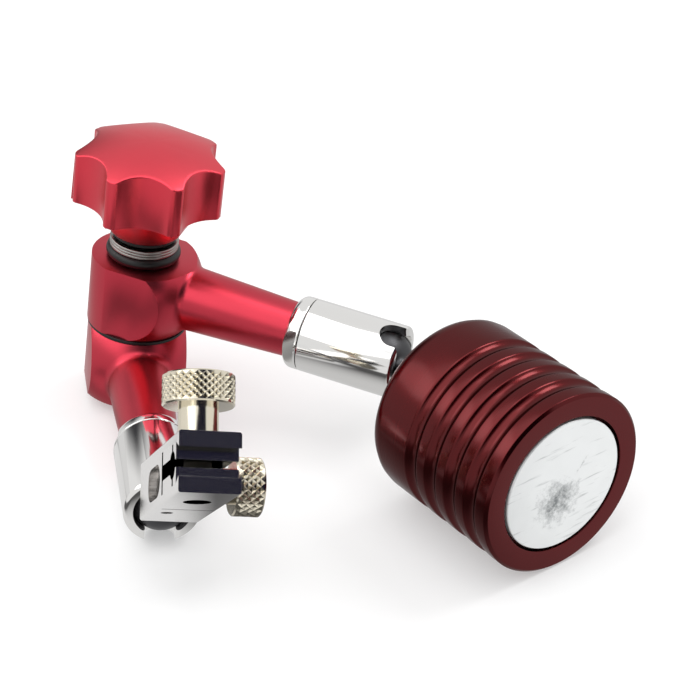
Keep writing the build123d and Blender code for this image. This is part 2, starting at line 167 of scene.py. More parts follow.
class SocketSizes(PropertyGroup):
    mouth_bore: length("Mouth bore", 4.35, "Radius of the opening that the ball sits behind")
    seat_play: length("Seat play", 0.05, "Gap between the ball and its seat")
    bore_play: length("Bore play", 0.15, "Gap between the ball and the straight bore")
    bore_depth: length("Bore depth", 7.6, "From the ball's centre to the end of the wide bore")
    spigot_bore: length("Spigot bore", 4.04, "Radius of the bore round the arm's spigot")
    edge_round: length("Mouth edge", 0.7, "Radius of the mouth's outer edge")
    ring_edge: length("Ring edge", 0.16, "Radius of the edges at the ring line")
    slot_width: length("Slot width", 4.8, "Width of the slots that let the neck swing aside")
    slot_depth: length("Slot depth", 4.0, "Depth of the slots from the mouth")
    slot_flare: length("Slot flare", 0.8, "Radius of the flared lips of the slots")
    collar_round: length("Collar round", 1.4, "Radius of the collar's shoulder")
    collar_flat: length("Collar flat", 5.3, "From the axis to each wrench flat of the collar")
    upper_turn: angle("Upper slot turn", -15, "Turn of the upper socket's slots about the arm")
    lower_turn: angle("Lower slot turn", 0, "Turn of the lower socket's slots about the arm")


class ArmSizes(PropertyGroup):
    shank_radius: length("Shank radius", 4.62, "Radius of the arm next to its collar")
    head_sphere: length("Head ball", 10.6, "Radius of the rounded side of the head")
    taper: FloatProperty(name="Taper", description="Growth of the arm's radius towards its head", default=0.044)
    root_round: length("Root round", 2.0, "Radius of the cove between arm and head")
    edge_round: length("Edge round", 0.18, "Softened edges of the head")
    spindle_bore: length("Spindle bore", 2.55, "Radius of the bore across the head")
    cone_bore: length("Cone bore", 4.05, "Radius of the wide end of that bore")
    cone_depth: length("Cone depth", 7.0, "Depth of the wide end")


class KnobSizes(PropertyGroup):
    lobes: IntProperty(name="Lobes", description="How many lobes the star knob has", default=7)
    valley_radius: length("Valley radius", 9.85, "From the axis to the bottom of each flute")
    flute_radius: length("Flute radius", 6.9, "Radius of each flute")
    tip_round: length("Tip round", 0.6, "Radius of the corners between lobe and flute")
    height: length("Lobe height", 8.4, "Height of the lobes at their tips")
    dome: length("Dome", 2.6, "How far the top stands above the tips")
    top_edge: length("Top edge", 0.25, "Softened edge of the top")
    under_edge: length("Under edge", 0.7, "Softened edge underneath")
    hub_height: length("Hub height", 5.2, "Height of the cone under the lobes")
    hub_radius: length("Hub radius", 6.0, "Radius of the cone's lower end")
    hub_top_radius: length("Hub top radius", 8.7, "Radius of the cone's upper end")
    bore_radius: length("Insert bore", 4.0, "Radius of the bore for the insert")
    phase: angle("Phase", -19, "Turn of the first lobe from the upper arm")


class ElbowSizes(PropertyGroup):
    spring_bore: length("Spring washer bore", 2.9, "Radius of the hole in each spring washer")
    spring_thickness: length("Spring washer thickness", 0.45, "Thickness of each spring washer")
    spring_gap: length("Spring washer gap", 0.05, "Gap between two spring washers")
    spring_count: IntProperty(name="Spring washers", description="How many are stacked", default=3)
    washer_bore: length("Nylon washer bore", 2.9, "Radius of the hole in each nylon washer")
    nylon_edge: length("Nylon washer edge", 0.12, "Softened edge of each nylon washer")


class ClampSizes(PropertyGroup):
    block_edge: length("Block edge", 0.1, "Softened edges of the clamp block")
    dovetail_depth: length("Dovetail depth", 1.9, "Depth of the dovetail across the block's front")
    # how far into the block the painted shade of its cavities reaches
    shade_reach: length("Cavity reach", 12.6, "From the block's front to the end of its dark cavities")
    slit_depth: length("Slit depth", 16.2, "From the block's front to the narrow slit in its underside")
    slit_margin: length("Slit margin", 0.3, "How near to that depth a face belongs to the slit")
    knurl_pitch: length("Knurl pitch", 1.18, "From one diamond of the knurl to the next")
    knurl_depth: length("Knurl depth", 0.36, "Depth of the pit inside each diamond")
    knurl_rim: length("Knurl rim", 0.22, "Chamfer at each end of a knurled head")
    clamp_thread: length("Clamp screw thread", 2.0, "Radius of its threaded end")
    clamp_shank: length("Clamp screw shank", 2.95, "Radius between block and head")
    clamp_head: length("Clamp screw head", 4.6, "Height of its knurled head")
    side_thread: length("Side screw thread", 1.8, "Radius of its threaded end")
    side_shank: length("Side screw shank", 2.7, "Radius between block and head")
    side_head: length("Side screw head", 4.3, "Height of its knurled head")
    seat_gap: length("Clamp screw seat", 0.03, "From the block's top to the clamp screw's shoulder")
    side_gap: length("Side screw seat", 0.6, "From the block's side to the side screw's shoulder")


class Finishes(PropertyGroup):
    knob_red: colour("Knob red", "#e3283f", "Dye of the anodised knob")
    arm_red: colour("Arm red", "#c61f39", "Dye of the anodised arms")
    base_red: colour("Base red", "#5a0f12", "Dye of the anodised base")
    chrome: colour("Chrome", "#edecea", "Polished chrome of the sockets")
    nickel: colour("Nickel", "#e9e1cd", "Plating of the knurled screws")
    ground_steel: colour("Ground steel", "#efedeb", "Faces of the clamp block")
    zinc: colour("Zinc", "#f4f6f6", "Plating of the pole disc")
    dark_steel: colour("Dark steel", "#505052", "Blackened ball studs")
    plain_steel: colour("Plain steel", "#a9a8a4", "Turned inner pieces and washers")
    rubber: colour("Rubber", "#070707", "Rubber ring and nylon washers")


class StageSizes(PropertyGroup):
    azimuth: angle("Azimuth", -36.04, "Direction from the stand to the camera, from +X")
    elevation: angle("Elevation", 32.37, "Height of the camera above the floor")
    roll: angle("Roll", -0.73, "Roll of the camera")
    distance: FloatProperty(name="Distance", description="From the aim to the camera", default=0.33, unit="LENGTH")
    lens: FloatProperty(name="Lens", description="Focal length on a 36 mm sensor", default=108.07)
    aim: FloatVectorProperty(
        name="Aim", description="Point on the camera's axis", default=(-0.03968, -0.00999, 0.00756),
        subtype="TRANSLATION", unit="LENGTH", size=3, precision=5,
    )


class StandSettings(PropertyGroup):
    base: PointerProperty(type=BaseSizes)
    stud: PointerProperty(type=StudSizes)
    socket: PointerProperty(type=SocketSizes)
    arm: PointerProperty(type=ArmSizes)
    knob: PointerProperty(type=KnobSizes)
    elbow: PointerProperty(type=ElbowSizes)
    clamp: PointerProperty(type=ClampSizes)
    finish: PointerProperty(type=Finishes)
    stage: PointerProperty(type=StageSizes)


# ---- shaping
def arc(centre, radius, start, end, steps):
    """Points of an arc, from start to end in degrees, as (radius, height) pairs."""
    turns = [math.radians(start + (end - start) * i / steps) for i in range(steps + 1)]
    return [(centre[0] + radius * math.cos(a), centre[1] + radius * math.sin(a)) for a in turns]


def rounded(corners, steps=4):
    """Outline points from corners (x, y) or (x, y, radius), with an arc at each corner that has a radius."""
    points = []
    count = len(corners)
    for i, corner in enumerate(corners):
        here = Vector(corner[:2])
        if len(corner) == 2 or i in (0, count - 1):
            points.append(tuple(here))
            continue
        before = (Vector(corners[i - 1][:2]) - here).normalized()
        after = (Vector(corners[i + 1][:2]) - here).normalized()
        half = before.angle(after) / 2
        centre = here + (before + after).normalized() * corner[2] / math.sin(half)
        first = here + before * corner[2] / math.tan(half) - centre
        last = here + after * corner[2] / math.tan(half) - centre
        for k in range(steps + 1):
            share = k / steps
            sweep = first.angle(last)
            near = math.sin((1 - share) * sweep) / math.sin(sweep)
            far = math.sin(share * sweep) / math.sin(sweep)
            points.append(tuple(centre + first * near + last * far))
    return points


def move(bm, matrix):
    bmesh.ops.transform(bm, matrix=matrix, verts=bm.verts)


def weld(bm):
    """Merges doubled vertices and turns every normal outward."""
    bmesh.ops.remove_doubles(bm, verts=bm.verts, dist=WELD)
    bmesh.ops.recalc_face_normals(bm, faces=bm.faces)


def only(kind, items):
    return [item for item in items if isinstance(item, kind)]


def turned(outline, closed=False, steps=TURN_STEPS):
    """A shape of (radius, height) points spun once round the local Z axis."""
    bm = bmesh.new()
    verts = [bm.verts.new((r, 0, z)) for r, z in outline]
    chain = [bm.edges.new(pair) for pair in zip(verts, verts[1:])]
    if closed:
        chain.append(bm.edges.new((verts[-1], verts[0])))
    bmesh.ops.spin(
        bm, geom=verts + chain, cent=(0, 0, 0), axis=(0, 0, 1), angle=math.tau, steps=steps, use_merge=True
    )
    weld(bm)
    return bm


def prism(outline, depth, matrix):
    """A closed outline of (x, y) points, extruded both ways along Z to a total depth."""
    bm = bmesh.new()
    face = bm.faces.new([bm.verts.new((x, y, -depth / 2)) for x, y in outline])
    grown = bmesh.ops.extrude_face_region(bm, geom=[face])["geom"]
    bmesh.ops.translate(bm, vec=(0, 0, depth), verts=only(bmesh.types.BMVert, grown))
    bmesh.ops.recalc_face_normals(bm, faces=bm.faces)
    move(bm, matrix)
    return bm


def mesh_of(name, bm):
    mesh = bpy.data.meshes.new(name)
    bm.to_mesh(mesh)
    bm.free()
    return mesh


def show(name, data):
    """A new object in the scene."""
    item = bpy.data.objects.new(name, data)
    bpy.context.scene.collection.objects.link(item)
    return item


def cut_out(bm, tools):
    """The shape after each closed tool is taken out of it."""
    body, *others = [show("scratch", mesh_of("scratch", shape)) for shape in [bm] + tools]
    for other in others:
        step = body.modifiers.new("cut", "BOOLEAN")
        step.operation = "DIFFERENCE"
        step.solver = "EXACT"
        step.object = other
    done = bpy.data.meshes.new_from_object(body.evaluated_get(bpy.context.evaluated_depsgraph_get()))
    result = bmesh.new()
    result.from_mesh(done)
    for item in [body] + others:
        mesh = item.data
        bpy.data.objects.remove(item)
        bpy.data.meshes.remove(mesh)
    bpy.data.meshes.remove(done)
    bmesh.ops.remove_doubles(result, verts=result.verts, dist=WELD)
    return result


def slice_off(bm, point, normal):
    """Cuts a closed shape with a plane, drops what lies beyond it, and caps the cut."""
    geom = bm.verts[:] + bm.edges[:] + bm.faces[:]
    cut = bmesh.ops.bisect_plane(bm, geom=geom, plane_co=point, plane_no=normal, clear_outer=True)
    bmesh.ops.contextual_create(bm, geom=only(bmesh.types.BMEdge, cut["geom_cut"]))


def bent(bm, limit):
    """The edges whose faces turn by more than limit degrees."""
    return [e for e in bm.edges if len(e.link_faces) == 2 and e.calc_face_angle() > math.radians(limit)]


def bevel(bm, edges, width, segments):
    bmesh.ops.bevel(
        bm, geom=edges, affect="EDGES", offset=width, offset_type="OFFSET", segments=segments, profile=0.5,
        material=-1, clamp_overlap=True,
    )


def place(bm, name, local, material, body, nodes=(), sharp=32):
    """Makes a finished piece of a shape, rides it on its body, and hides the CAD nodes it stands for."""
    move(bm, local)
    mesh = mesh_of(name, bm)
    mesh.shade_smooth()
    mesh.set_sharp_from_angle(angle=math.radians(sharp))
    mesh.materials.append(material)
    item = show(name, mesh)
    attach(item, body)
    if nodes:
        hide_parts(*nodes)


# ---- materials
def add(tree, kind, inputs=None, **settings):
    """Adds a node, with its settings, and fills or links its inputs."""
    item = tree.nodes.new("ShaderNode" + kind)
    for key, value in settings.items():
        setattr(item, key, value)
    connect(tree, item, inputs or {})
    return item


def connect(tree, item, inputs):
    for key, value in inputs.items():
        if isinstance(value, bpy.types.NodeSocket):
            tree.links.new(value, item.inputs[key])
        else:
            item.inputs[key].default_value = value


def calculate(tree, operation, first, second=0.0):
    return add(tree, "Math", {0: first, 1: second}, operation=operation).outputs["Value"]


def vector_size(tree, vector):
    return add(tree, "VectorMath", {0: vector}, operation="LENGTH").outputs["Value"]


def remap(tree, value, start, end, low, high, smooth=False):
    """A value moved from one range to another, and kept inside it."""
    return add(tree, "MapRange", {
        "Value": value, "From Min": start, "From Max": end, "To Min": low, "To Max": high,
    }, interpolation_type="SMOOTHSTEP" if smooth else "LINEAR").outputs["Result"]


def opaque(tint, level=1.0):
    return [c * level for c in tint] + [1]


def blend(tree, share, first, second):
    """The first colour at 0 and the second at 1."""
    return add(tree, "Mix", {"Factor": share, 6: first, 7: second}, data_type="RGBA").outputs[2]


def noise(tree, spot, size, detail, roughness=0.5):
    """A noise whose blotches have a size in metres."""
    return add(tree, "TexNoise", {
        "Vector": spot, "Scale": 1 / size, "Detail": detail, "Roughness": roughness,
    }).outputs["Fac"]


def lathe_lines(tree, spot, gap, detail, roughness=0.5):
    """Lines that run round a piece's axis, with a gap in metres between them."""
    parts = add(tree, "SeparateXYZ", {"Vector": spot}).outputs
    flat = add(tree, "CombineXYZ", {"X": parts["X"], "Y": parts["Y"]}).outputs["Vector"]
    along = calculate(tree, "ADD", vector_size(tree, flat), parts["Z"])
    return add(tree, "TexNoise", {
        "W": along, "Scale": 1 / gap, "Detail": detail, "Roughness": roughness,
    }, noise_dimensions="1D").outputs["Fac"]


def bumps(tree, height, strength, distance=0.01 * MM):
    return add(tree, "Bump", {"Height": height, "Strength": strength, "Distance": distance}).outputs["Normal"]


def surface(name, local):
    """A new material, its tree, and coordinates in metres along a piece's own axes."""
    material = bpy.data.materials.new(name)
    material.use_nodes = True
    tree = material.node_tree
    inverse = local.inverted()
    mapping = add(tree, "Mapping", {
        "Vector": add(tree, "TexCoord").outputs["Object"], "Location": inverse.translation,
        "Rotation": inverse.to_euler("XYZ"),
    })
    return material, tree, mapping.outputs["Vector"]


def dressed(material, inputs):
    """The material, with its shader's inputs filled."""
    tree = material.node_tree
    connect(tree, tree.nodes["Principled BSDF"], inputs)
    return material


def anodised(name, tint, local, roughness, coat, skin, grain):
    """Dyed anodised aluminium, turned and then etched: a coloured metal sheen under a clear, matt oxide skin."""
    material, tree, spot = surface(name, local)
    # lathe lines give each turned face its soft streaks, and the etched grain breaks them up
    lines = lathe_lines(tree, spot, 0.12 * MM, 2)
    etch = noise(tree, spot, grain, 3, 0.6)
    height = calculate(tree, "ADD", calculate(tree, "MULTIPLY", etch, 0.6), lines)
    # dye takes a little unevenly over a few millimetres
    cloud = noise(tree, spot, 6 * MM, 2)
    return dressed(material, {
        "Base Color": blend(tree, cloud, opaque(tint, 0.86), opaque(tint)), "Metallic": 1,
        "Specular Tint": [0.4 + 0.6 * c for c in tint] + [1],
        "Roughness": remap(tree, lines, 0, 1, roughness * 0.88, roughness * 1.12),
        "Normal": bumps(tree, height, 0.12), "Coat Weight": coat, "Coat Roughness": skin,
    })


def turned_metal(name, tint, local, roughness, line, strength=0.1):
    """Bare or plated metal from the lathe: rings of fine lines that spread the highlight round the piece."""
    material, tree, spot = surface(name, local)
    lines = lathe_lines(tree, spot, line, 3, 0.7)
    stain = noise(tree, spot, 2.5 * MM, 4)
    return dressed(material, {
        "Base Color": blend(tree, stain, opaque(tint, 0.88), opaque(tint)), "Metallic": 1,
        "Roughness": remap(tree, lines, 0, 1, roughness * 0.8, roughness * 1.25),
        "Normal": bumps(tree, lines, strength),
    })


def knurled_nickel(name, tint, local):
    """Rolled diamond knurl, nickel plated: bright ridges, and painted shade with some dirt at the bottom of each
    pit.
    """
    material, tree, spot = surface(name, local)
    depth = add(tree, "Attribute", attribute_name="pit_depth").outputs["Fac"]
    # painted shade and dirt darken the lower half of a pit, more in some pits than in others
    dark = remap(tree, depth, 0.25, 0.9, 0, 1)
    shade_amount = remap(tree, noise(tree, spot, 0.9 * MM, 3), 0.3, 0.7, 0.45, 0.95)
    # past 1 the attribute marks the thread, which is painted dark and dull all over as shade inside the block's slit
    thread_shade = calculate(tree, "SUBTRACT", depth, 1)
    share = calculate(tree, "MAXIMUM", calculate(tree, "MULTIPLY", dark, shade_amount), thread_shade)
    # fine turning lines on the plain shank and faces
    rough = remap(tree, lathe_lines(tree, spot, 0.08 * MM, 2), 0, 1, 0.1, 0.2)
    return dressed(material, {
        "Base Color": blend(tree, share, opaque(tint), opaque(linear("#2b2820"))),
        "Metallic": remap(tree, thread_shade, 0, 1, 1, 0), "Roughness": calculate(tree, "MAXIMUM", rough, thread_shade),
    })


def ground_steel(name, tint, local):
    """Surface-ground, nickel-plated steel: satin faces with fine lines across the block, and cavities painted dark
    as shade.
    """
    material, tree, spot = surface(name, local)
    # grinding lines 0.1 mm apart and some 4 mm long
    stretched = add(tree, "VectorMath", {
        0: spot, 1: (1 / (4 * MM), 1 / (0.1 * MM), 1 / (0.1 * MM)),
    }, operation="MULTIPLY").outputs["Vector"]
    lines = noise(tree, stretched, 1, 2)
    # faces marked inside the block's cavities turn near black: painted shade
    shade_amount = add(tree, "Attribute", attribute_name="painted_shade").outputs["Fac"]
    return dressed(material, {
        "Base Color": blend(tree, shade_amount, opaque(tint), opaque(linear("#0f0e0c"))), "Metallic": 1,
        "Roughness": remap(tree, lines, 0, 1, 0.12, 0.22), "Normal": bumps(tree, lines, 0.2),
    })


def polished_chrome(name, tint, local):
    """Bright chrome plate on polished steel: a clear mirror, with a faint bloom from handling."""
    material, tree, spot = surface(name, local)
    return dressed(material, {
        "Base Color": opaque(tint), "Metallic": 1,
        "Roughness": remap(tree, noise(tree, spot, 3 * MM, 4), 0, 1, 0.04, 0.13),
    })


def zinc_plate(name, tint, local, radius):
    """Zinc-plated pole face, used: bright white metal, with grey rub marks, drawn streaks and small nicks."""
    material, tree, spot = surface(name, local)
    specks = noise(tree, spot, 2.2 * MM, 8, 0.8)
    # the rub mark covers the middle of the disc and a little below it, broken up by the specks
    patch = add(tree, "VectorMath", {0: spot, 1: (radius * -0.1, radius * -0.25, 0)}, operation="DISTANCE")
    reach = remap(tree, patch.outputs["Value"], 0, radius * 0.95, 1, 0)
    # a scrape leads from it towards the rim
    scrape = add(tree, "Mapping", {
        "Vector": spot, "Location": (radius * 0.32, radius * 0.2, 0), "Rotation": (0, 0, 0.85),
        "Scale": (radius * 0.5, radius * 0.09, 1),
    }, vector_type="TEXTURE").outputs["Vector"]
    drawn = remap(tree, vector_size(tree, scrape), 0, 1, 0.8, 0)
    rub = calculate(tree, "MULTIPLY", calculate(tree, "MAXIMUM", reach, drawn), specks)
    # streaks where the face was dragged, 6 mm long and 0.7 mm wide
    slanted = add(tree, "Mapping", {"Vector": spot, "Rotation": (0, 0, 0.7), "Scale": (160, 1400, 1)})
    streaks = remap(tree, noise(tree, slanted.outputs["Vector"], 1, 3), 0.6, 0.74, 0, 0.4)
    worn = calculate(tree, "MAXIMUM", remap(tree, rub, 0.29, 0.5, 0, 0.85), streaks)
    base = blend(tree, noise(tree, spot, 5 * MM, 3), opaque(tint, 0.9), opaque(tint))
    return dressed(material, {
        "Base Color": blend(tree, worn, base, opaque(linear("#575c5e"))), "Metallic": 0.7,
        "Roughness": remap(tree, specks, 0, 1, 0.28, 0.42), "Normal": bumps(tree, specks, 0.2, 0.02 * MM),
    })


def moulded(name, tint, local, roughness):
    """Moulded rubber or nylon: black and dull, with a faint grain that breaks up its highlight."""
    material, tree, spot = surface(name, local)
    grain = noise(tree, spot, 0.25 * MM, 3)
    return dressed(material, {
        "Base Color": opaque(tint), "Roughness": remap(tree, grain, 0, 1, roughness * 0.85, roughness * 1.2),
        "Normal": bumps(tree, grain, 0.15),
    })


# ---- pieces
class STAND_OT_base(Operator):
    """Turns the grooved base body and its pole disc"""

    bl_idname = "stand.base"
    bl_label = "Magnet base"

    def execute(self, context):
        sizes = context.scene.stand.base
        finish = context.scene.stand.finish
        low, high = measure("magnet_shell", BASE)
        radius, back = high.x, low.z
        disc_low, disc_high = measure("pole_disc", BASE)
        core_low, core_high = measure("magnet_core", BASE)
        pocket = disc_high.x + sizes.disc_gap
        core = core_high.x + sizes.core_fit
        depth = sizes.groove_depth
        cove = (sizes.groove_width ** 2 / 4 + depth ** 2) / (2 * depth)
        reach = math.degrees(math.asin(sizes.groove_width / 2 / cove))
        corners = [(0, core_low.z), (core, core_low.z), (core, disc_low.z), (pocket, disc_low.z)]
        corners += [(pocket, 0, 0.12 * MM), (radius - sizes.front_chamfer, 0, 0.1 * MM)]
        corners += [(radius, -sizes.front_chamfer, 0.15 * MM)]
        for i in range(sizes.groove_count):
            middle = -sizes.groove_first - i * sizes.groove_pitch
            points = arc((radius + cove - depth, middle), cove, 180 - reach, 180 + reach, 10)
            corners += [points[0] + (sizes.groove_lip,)] + points[1:-1] + [points[-1] + (sizes.groove_lip,)]
        corners += [(radius, back, sizes.back_round), (sizes.stud_bore, back, 0.2 * MM)]
        corners += [(sizes.stud_bore, back + sizes.stud_depth), (0, back + sizes.stud_depth)]
        body = anodised("anodised_aluminium_turned_burgundy", finish.base_red, BASE, 0.26, 0.35, 0.16, 0.15 * MM)
        place(turned(rounded(corners, 5), steps=192), "base_body", BASE, body, "base",
              ["magnet_shell"], sharp=40)
        edge = sizes.disc_round
        disc = [(0, disc_low.z), (disc_high.x, disc_low.z), (disc_high.x, 0, edge), (0, 0)]
        plate = zinc_plate("steel_zinc_plated_worn", finish.zinc, BASE, disc_high.x)
        place(turned(rounded(disc)), "base_pole_disc", BASE, plate, "base", ["pole_disc"])
        return {"FINISHED"}


def ball_stud(sizes, ball, shank, neck, end):
    """A ball, a cove, a thin neck and the shank past it."""
    fillet = sizes.root_round
    across = sizes.neck_radius + fillet
    along = math.sqrt((ball + fillet) ** 2 - across ** 2)
    meet = math.degrees(math.atan2(along, across))
    outline = arc((0, 0), ball, -90, meet, 24)
    outline += arc((across, along), fillet, 180 + meet, 180, 6)[1:]
    outline += rounded([(sizes.neck_radius, neck - 1 * MM), (sizes.neck_radius, neck), (shank, neck), (shank, end)])
    return turned(outline + [(0, end)], steps=96)


class STAND_OT_studs(Operator):
    """Turns the two ball studs"""

    bl_idname = "stand.studs"
    bl_label = "Ball studs"

    def execute(self, context):
        sizes = context.scene.stand.stud
        tint = context.scene.stand.finish.dark_steel
        rows = (
            ("base_ball_stud", "base_stud", STUD, sizes.base_shank, sizes.base_neck),
            ("clamp_ball_stud", "clamp_stud", CLAMP, sizes.clamp_shank, sizes.clamp_neck),
        )
        for node, body, local, shank, neck in rows:
            high = measure(node, local)[1]
            metal = turned_metal("steel_turned_blackened_" + body, tint, local, 0.42, 0.1 * MM)
            shape = ball_stud(sizes, high.x, shank, neck, high.z)
            place(shape, body + "_ball_and_neck", local, metal, body, [node])
        return {"FINISHED"}


def slot_tool(sizes, mouth, span, turn):
    """The slot across a socket's mouth: a round end, straight sides and flared lips."""
    half = sizes.slot_width / 2
    flare = sizes.slot_flare
    top = mouth + sizes.slot_depth
    side = [(half + flare, mouth - 1 * MM), (half + flare, mouth)]
    side += arc((half + flare, mouth + flare), flare, 270, 180, 6)[1:]
    side += arc((0, top - half), half, 0, 90, 12)
    outline = side + [(-x, y) for x, y in reversed(side[:-1])]
    upright = Matrix.Rotation(turn + math.pi / 2, 4, "Z") @ Matrix.Rotation(math.pi / 2, 4, "X")
    return prism(outline, span, upright)


def flat_ring(bore, outer, start, end, first_edge, last_edge, steps=4):
    """A turned ring with two rounded outer edges."""
    corners = [(bore, start), (outer, start, first_edge), (outer, end, last_edge), (bore, end)]
    return turned(rounded(corners, steps), closed=True)


class STAND_OT_sockets(Operator):
    """Turns the chromed sockets, cuts their slots, and adds the collars with their wrench flats"""

    bl_idname = "stand.sockets"
    bl_label = "Sockets and collars"

    def execute(self, context):
        sizes = context.scene.stand.socket
        tint = context.scene.stand.finish.chrome
        ball = measure("base_ball_stud", STUD)[1].x
        for side, local, turn in (("upper", UPPER, sizes.upper_turn), ("lower", LOWER, sizes.lower_turn)):
            chrome = polished_chrome("steel_chromed_polished_" + side, tint, local)
            low, high = measure(side + "_socket", local)
            collar_low, collar_high = measure(side + "_collar", local)
            radius = collar_high.x
            seat = ball + sizes.seat_play
            bore = ball + sizes.bore_play
            start = math.degrees(math.asin(-math.sqrt(seat ** 2 - sizes.mouth_bore ** 2) / seat))
            corners = [(sizes.mouth_bore + 0.25 * MM, low.z), (radius, low.z, sizes.edge_round)]
            corners += [(radius, high.z, sizes.ring_edge), (sizes.spigot_bore, high.z)]
            corners += [(sizes.spigot_bore, sizes.bore_depth), (bore, sizes.bore_depth), (bore, 0)]
            corners += arc((0, 0), seat, 0, start, 8)
            sleeve = turned(rounded(corners, 5), closed=True)
            sleeve = cut_out(sleeve, [slot_tool(sizes, low.z, 4 * radius, turn)])
            node = side + "_socket"
            place(sleeve, node + "_sleeve", local, chrome, node, [node], sharp=26)
            collar = flat_ring(
                sizes.spigot_bore, radius, collar_low.z, collar_high.z, sizes.ring_edge, sizes.collar_round, 8
            )
            level = (collar_low.z + collar_high.z) / 2
            cutters = []
            for s in (-1, 1):
                cutter = bmesh.new()
                bmesh.ops.create_cube(cutter, size=radius)
                at = Vector((0, s * (sizes.collar_flat + radius / 2), level + sizes.ring_edge + 0.2 * MM))
                grow = Matrix.Diagonal((2, 1, (collar_high.z - collar_low.z) / radius, 1))
                move(cutter, Matrix.Translation(at) @ grow)
                cutters.append(cutter)
            node = side + "_collar"
            place(cut_out(collar, cutters), node + "_ring", local, chrome, side + "_arm", [node],
                  sharp=26)
        return {"FINISHED"}


def arm_shape(sizes, local, side):
    """A tapering arm that flows into a ball-sided, flat-faced eye."""
    collar_top = measure(side + "_collar", local)[1].z
    low, high = measure(side + "_arm", local)
    middle = (local.inverted() @ joint_point("knob_turn")).z
    eye = high.z - middle
    ball = sizes.head_sphere
    flank = high.y
    taper = sizes.taper
    meet = sizes.shank_radius + taper * (middle - ball - collar_top)
    fillet = sizes.root_round
    across = meet + fillet
    along = math.sqrt((ball + fillet) ** 2 - across ** 2)
    angle_at = math.degrees(math.atan2(-along, across))
    outline = [(0, collar_top), (sizes.shank_radius, collar_top)]
    outline += [(meet - taper * 1 * MM, middle - along - 1 * MM)]
    outline += arc((across, middle - along), fillet, 180, 180 + angle_at, 8)
    outline += arc((0, middle), ball, angle_at, 0, 14)[1:]
    near = turned(outline + [(0, middle)])
    sides = (((0, flank, 0), (0, 1, 0)), ((0, -flank, 0), (0, -1, 0)))
    for point, normal in (((high.x, 0, 0), (1, 0, 0)), ((low.x, 0, 0), (-1, 0, 0))) + sides:
        slice_off(near, point, normal)
    far = bmesh.new()
    across_head = Matrix.Translation(((high.x + low.x) / 2, 0, middle)) @ Matrix.Rotation(math.pi / 2, 4, "Y")
    bmesh.ops.create_cone(
        far, cap_ends=True, segments=96, radius1=eye, radius2=eye, depth=high.x - low.x, matrix=across_head
    )
    for point, normal in (((0, 0, middle), (0, 0, -1)),) + sides:
        slice_off(far, point, normal)
    mesh = mesh_of("half", far)
    near.from_mesh(mesh)
    bpy.data.meshes.remove(mesh)
    inside = [f for f in near.faces if abs(f.calc_center_median().z - middle) < NEAR and abs(f.normal.z) > 0.9]
    bmesh.ops.delete(near, geom=inside, context="FACES")
    bmesh.ops.remove_doubles(near, verts=near.verts, dist=2 * NEAR)
    bmesh.ops.dissolve_limit(near, angle_limit=math.radians(0.5), verts=near.verts, edges=near.edges)
    rims = [e for e in bent(near, 25) if min(v.co.z for v in e.verts) > collar_top + 1 * MM]
    bevel(near, rims, sizes.edge_round, 3)
    return near, low, high, middle


class STAND_OT_arms(Operator):
    """Models both arms with their eyes and bores"""

    bl_idname = "stand.arms"
    bl_label = "Arms"

    def execute(self, context):
        sizes = context.scene.stand.arm
        tint = context.scene.stand.finish.arm_red
        for side, local in (("upper", UPPER), ("lower", LOWER)):
            shape, low, high, middle = arm_shape(sizes, local, side)
            across_head = Matrix.Translation((0, 0, middle)) @ Matrix.Rotation(math.pi / 2, 4, "Y")
            step = high.x - sizes.cone_depth
            outline = [(0, 2 * low.x), (sizes.spindle_bore, 2 * low.x), (sizes.spindle_bore, step)]
            outline += [(sizes.cone_bore, step), (sizes.cone_bore, 2 * high.x), (0, 2 * high.x)]
            bore = turned(outline)
            move(bore, across_head)
            shape = cut_out(shape, [bore])
            metal = anodised("anodised_aluminium_etched_red_" + side, tint, local, 0.32, 0.85, 0.36, 0.14 * MM)
            place(shape, side + "_arm_body", local, metal, side + "_arm", [side + "_arm"], sharp=30)
        return {"FINISHED"}


def star_outline(sizes, tip):
    """Lobes and flutes as arcs, once round."""
    step = math.tau / sizes.lobes
    far = sizes.valley_radius + sizes.flute_radius
    # where a flute's circle leaves the tip circle, seen from the flute's own centre
    inner = math.acos((far ** 2 + sizes.flute_radius ** 2 - tip ** 2) / (2 * far * sizes.flute_radius))
    edge = math.atan2(sizes.flute_radius * math.sin(inner), far - sizes.flute_radius * math.cos(inner))
    points = []
    for i in range(sizes.lobes):
        valley = sizes.phase + (i + 0.5) * step
        centre = (far * math.cos(valley), far * math.sin(valley))
        open_to = math.degrees(valley) + 180
        spread = math.degrees(inner)
        points += arc(centre, sizes.flute_radius, open_to + spread, open_to - spread, 14)
        lobe = math.degrees(valley + step / 2)
        width = math.degrees(step / 2 - edge)
        points += arc((0, 0), tip, lobe - width, lobe + width, 4)[1:-1]
    return points


